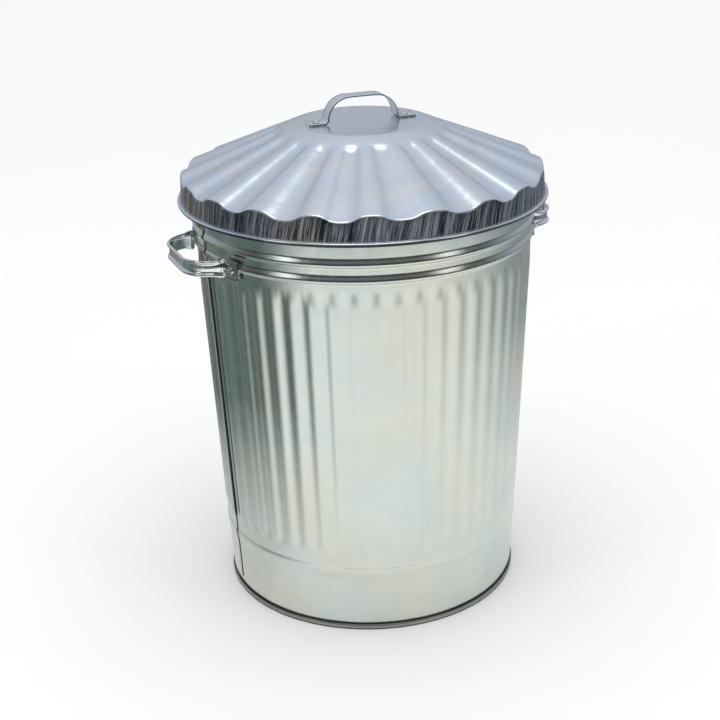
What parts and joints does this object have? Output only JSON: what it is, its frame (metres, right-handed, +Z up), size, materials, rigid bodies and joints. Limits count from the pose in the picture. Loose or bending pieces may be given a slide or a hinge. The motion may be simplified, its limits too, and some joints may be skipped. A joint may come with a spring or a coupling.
{
  "type": "galvanized trash can with lid",
  "caption": "Round tapering sheet-steel bin with a fluted wall, rolled beads, riveted side handles and a loose fluted lid with a strap handle.",
  "frame": {"origin": "middle of the foot ring on the floor plane", "axes": "+Z up the bin, X through the two side handles, Y across them"},
  "size_m": [0.5314, 0.49, 0.6801],
  "materials": {
    "body_steel": "hot-dip galvanized, satin",
    "lid_steel": "hot-dip galvanized, satin",
    "handle_steel": "bright zinc plated",
    "rivet_steel": "bright zinc plated"
  },
  "bodies": {
    "can": {"body_shell": "body_steel", "base_hoop": "body_steel", "bottom_pan": "body_steel", "left_side_handle": "handle_steel", "right_side_handle": "handle_steel", "side_handle_rivets": "rivet_steel"},
    "lid": {"lid_shell": "lid_steel", "lid_handle": "handle_steel", "lid_handle_rivets": "rivet_steel"}
  },
  "joints": [
    {"name": "lid_lift", "type": "slide", "parent": "can", "child": "lid", "axis": [0, 0, 1], "range_m": [0, 0.25]}
  ]
}
